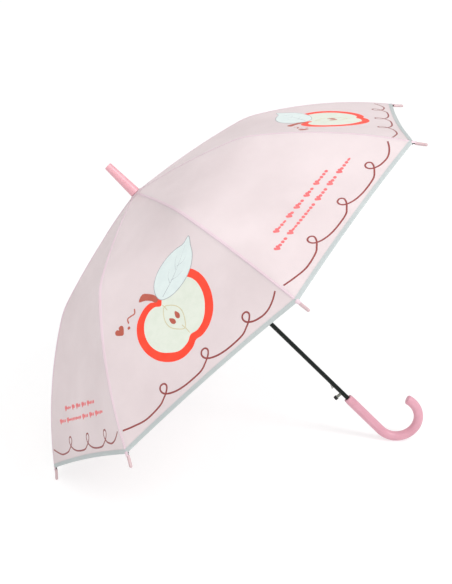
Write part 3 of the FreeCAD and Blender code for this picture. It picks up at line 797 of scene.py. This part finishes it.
def print_rows(number, place):
    """Two rows of small hearts, dots and dashes."""
    layer = Layer()
    dice = random.Random(7)
    for (start, end), groups in zip(ROW_ENDS, ROW_GROUPS):
        marks = sum(groups) + len(groups) - 1
        angle = -math.atan2(end[1] - start[1], end[0] - start[0])
        place_in_row = 0
        for size in groups:
            for n in range(size):
                f = (place_in_row + n + 0.5) / marks
                centre = (start[0] + (end[0] - start[0]) * f, start[1] + (end[1] - start[1]) * f)
                kind = dice.choice(("dot", "bar", "dot")) if n else "heart"
                if kind == "heart":
                    layer.area(heart(centre, 9.8, angle), place, PRINT_LOW, FIRST, 3.0)
                elif kind == "dot":
                    layer.area(dot(centre, 5.4), place, PRINT_LOW, FIRST, 2.0)
                else:
                    layer.area(bar(centre, 6.6, 3.6, angle), place, PRINT_LOW, FIRST, 2.0)
            place_in_row += size + 1
    return [layer.build(f"print_rows_{number}", CORAL)]


# ---------------------------------------------------------------- hub, handle mouth

ROSETTE_RADIUS = 16.6
ROSETTE_DROP = 2.05                    # from the ferrule down to the film
FERRULE_BASE = -9.2


def lathe(name, section_at, material, sides):
    """A closed ring turned about the shaft. section_at(angle) gives its (radius, height) points."""
    vertices = []
    for k in range(sides):
        a = 2 * math.pi * k / sides
        section = section_at(a)
        vertices += [to_row((r * math.cos(a), r * math.sin(a), z)) for r, z in section]
    n = len(section)
    faces = [(k * n + i, k * n + (i + 1) % n, (k + 1) % sides * n + (i + 1) % n, (k + 1) % sides * n + i)
             for k in range(sides) for i in range(n)]
    return new_object(name, vertices, faces, material)


def rosette_section(a):
    """Gathered disc of film under the ferrule: its outer face from the hole to the rim, then its inner face back."""
    outer, rows = [], 14
    for r in range(rows):
        f = r / (rows - 1)
        radius = 4.3 + (ROSETTE_RADIUS - 4.3) * f + 0.35 * f * math.sin(11 * a)
        ruffle = f * (0.16 * math.sin(17 * a + 0.6) + 0.08 * math.sin(29 * a))
        drop = smooth((radius - 8.5) / (ROSETTE_RADIUS - 8.5))
        outer.append((radius, FERRULE_BASE - 0.25 - ROSETTE_DROP * drop + ruffle))
    return outer + [(radius, height - 0.22) for radius, height in reversed(outer)]


MOUTH_Z = -540.0


def mouth_shade_ring():
    """Dark ring in the mouth of the handle: painted shade of the recess round the shaft."""
    section = [(4.06, MOUTH_Z - 1.9), (4.95, MOUTH_Z - 1.9), (4.95, MOUTH_Z - 0.45), (4.75, MOUTH_Z - 0.15),
               (4.35, MOUTH_Z - 0.15), (4.06, MOUTH_Z - 0.5)]
    return lathe("mouth_shade_ring", lambda a: section, MOUTH_SHADE_MATERIAL, 64)


# ---------------------------------------------------------------- assembly of the looks

def build_gore(number):
    azimuth = gore_azimuth(number)
    inner = film_sheet(f"canopy_inner_{number}", azimuth, lambda v: 0.0, lambda v: INNER_LENGTH, INNER_ROWS)
    outer = film_sheet(f"canopy_outer_{number}", azimuth, lambda v: INNER_LENGTH, hem_end, OUTER_ROWS)
    place = gore_place(number)
    trims = [hem_binding(number), hem_stitching(number)] + print_border(number, place)
    trims += print_picture(number, place) if number % 2 else print_rows(number, place)
    for piece in [outer] + trims:
        fold_with_gore(piece, number, "outer")
    fold_with_gore(inner, number, "inner")
    for piece, half in ((inner, "inner"), (outer, "outer")):
        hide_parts(f"gore_{half}_{number}")
    gore_width(INNER_LENGTH)
    gore_length(INNER_LENGTH)
    flat_area(0, INNER_LENGTH)
    gore_width(TOTAL)
    gore_length(TOTAL) - gore_length(INNER_LENGTH)
    flat_area(INNER_LENGTH, TOTAL)


for gore in range(1, RIBS + 1):
    build_gore(gore)
for rib in range(1, RIBS + 1):
    seam_band_and_highlight(rib, "inner", 0.0, INNER_LENGTH)
    seam_band_and_highlight(rib, "outer", INNER_LENGTH, TOTAL - BINDING_WIDTH + 1)
    corner_tab(rib)

hub_cover = lathe("rosette_ruffle", rosette_section, ROSETTE_MATERIAL, 159)
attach(hub_cover, "shaft")
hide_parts("rosette")
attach(mouth_shade_ring(), "shaft")
finish_cad_nodes()


# ---------------------------------------------------------------- room, light, camera

def room():
    mesh = bpy.data.meshes.new("floor")
    size = 45.0
    corners = [(-size, -size, 0), (size, -size, 0), (size, size, 0), (-size, size, 0)]
    mesh.from_pydata(corners, [], [(0, 1, 2, 3)])
    floor = bpy.data.objects.new("floor", mesh)
    bpy.context.scene.collection.objects.link(floor)
    material = Material("floor")
    material.set(Base_Color=(0.46, 0.46, 0.46, 1.0), Roughness=0.8, Specular_IOR_Level=0.0,
                 Emission_Color=(1.0, 1.0, 1.0, 1.0))
    # Painted shade: the floor glows least within 0.8 m of the origin and more out to 3 m, so the shadow near the
    # umbrella reads deeper
    distance = material.add("ShaderNodeVectorMath", operation="LENGTH")
    material.link(material.coords, distance.inputs[0])
    floor_glow_painted_shade = material.add("ShaderNodeMapRange")
    for socket, value in (("From Min", 0.8), ("From Max", 3.0), ("To Min", 0.605), ("To Max", 0.69)):
        floor_glow_painted_shade.inputs[socket].default_value = value
    material.link(distance.outputs["Value"], floor_glow_painted_shade.inputs["Value"])
    material.link(floor_glow_painted_shade.outputs["Result"], material.shader.inputs["Emission Strength"])
    mesh.materials.append(material.data)


def area_light(name, place, aim, size, power):
    data = bpy.data.lights.new(name, "AREA")
    data.shape, data.size, data.energy = "DISK", size, power
    lamp = bpy.data.objects.new(name, data)
    lamp.location = place
    lamp.rotation_euler = (Vector(aim) - Vector(place)).to_track_quat("-Z", "Y").to_euler()
    bpy.context.scene.collection.objects.link(lamp)


room()
world = bpy.data.worlds.new("studio")
world.use_nodes = True
world.node_tree.nodes["Background"].inputs["Color"].default_value = (1.0, 1.0, 1.0, 1.0)
world.node_tree.nodes["Background"].inputs["Strength"].default_value = 0.72
bpy.context.scene.world = world
area_light("key", (1.7, -1.3, 2.5), (0, 0, 0.3), 1.0, 37)
area_light("fill", (-0.3, -1.6, 2.5), (0, 0, 0.3), 2.2, 20)
bpy.context.scene.view_settings.view_transform = "Standard"

lens = bpy.data.cameras.new("camera")
lens.lens, lens.sensor_width = 60.4, 36.0
camera = bpy.data.objects.new("camera", lens)
camera.location = to_row((-476.5, 1608.0, 103.6))
forward = (to_row((286.5, -936.6, -201.9)) - ORIGIN).normalized()
right = forward.cross(to_row((-706.6, 0.0, 707.7)) - ORIGIN).normalized()
camera.rotation_euler = Matrix((right, right.cross(forward), -forward)).transposed().to_euler()
bpy.context.scene.collection.objects.link(camera)
bpy.context.scene.camera = camera
